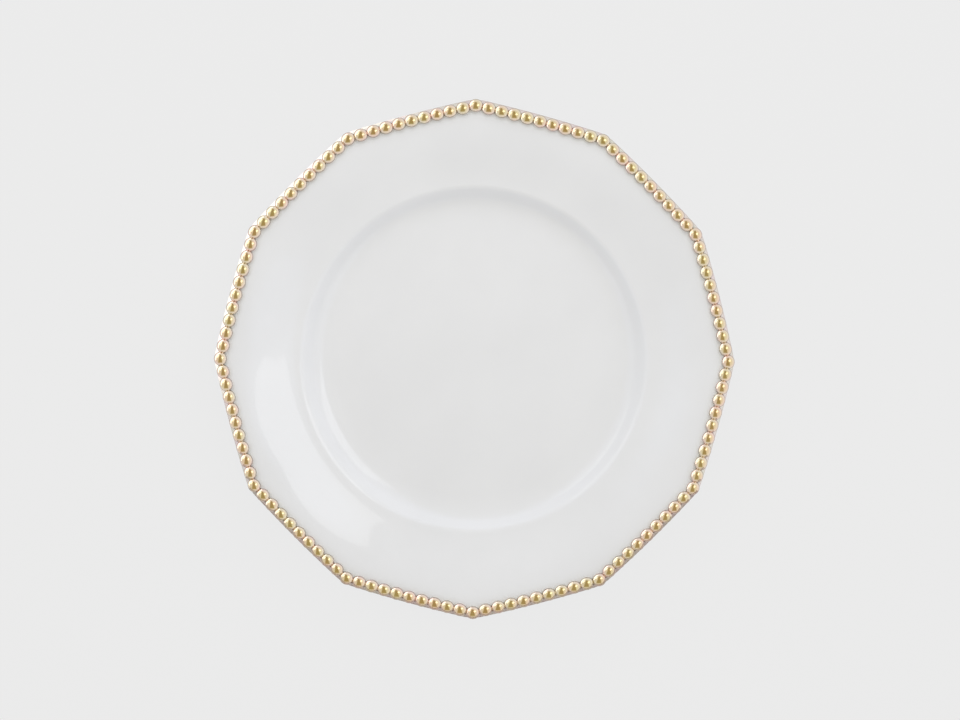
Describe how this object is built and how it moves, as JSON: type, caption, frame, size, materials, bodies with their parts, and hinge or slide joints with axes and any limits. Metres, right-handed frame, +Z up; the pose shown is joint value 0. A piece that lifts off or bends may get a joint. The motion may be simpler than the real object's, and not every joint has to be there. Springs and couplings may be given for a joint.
{
  "type": "dinner plate",
  "caption": "Polygonal white porcelain dinner plate with a round well, a wide rising rim, a foot ring and a gilded edge of beads, for serving food at table.",
  "frame": {"origin": "centre of the face that the foot ring stands on", "axes": "+Z up along the plate's axis, out of the well; +X towards a corner of the outline"},
  "size_m": [0.2594, 0.2594, 0.0245],
  "materials": {
    "white_glaze": "gloss",
    "foot_biscuit": "matte",
    "gilding": "polished"
  },
  "bodies": {
    "root": {"plate_body": "white_glaze", "foot_ring": "foot_biscuit", "bead_row_01": "gilding", "bead_row_02": "gilding", "bead_row_03": "gilding", "bead_row_04": "gilding", "bead_row_05": "gilding", "bead_row_06": "gilding", "bead_row_07": "gilding", "bead_row_08": "gilding", "bead_row_09": "gilding", "bead_row_10": "gilding", "bead_row_11": "gilding", "bead_row_12": "gilding", "corner_bead_01": "gilding", "corner_bead_02": "gilding", "corner_bead_03": "gilding", "corner_bead_04": "gilding", "corner_bead_05": "gilding", "corner_bead_06": "gilding", "corner_bead_07": "gilding", "corner_bead_08": "gilding", "corner_bead_09": "gilding", "corner_bead_10": "gilding", "corner_bead_11": "gilding", "corner_bead_12": "gilding"}
  },
  "joints": []
}
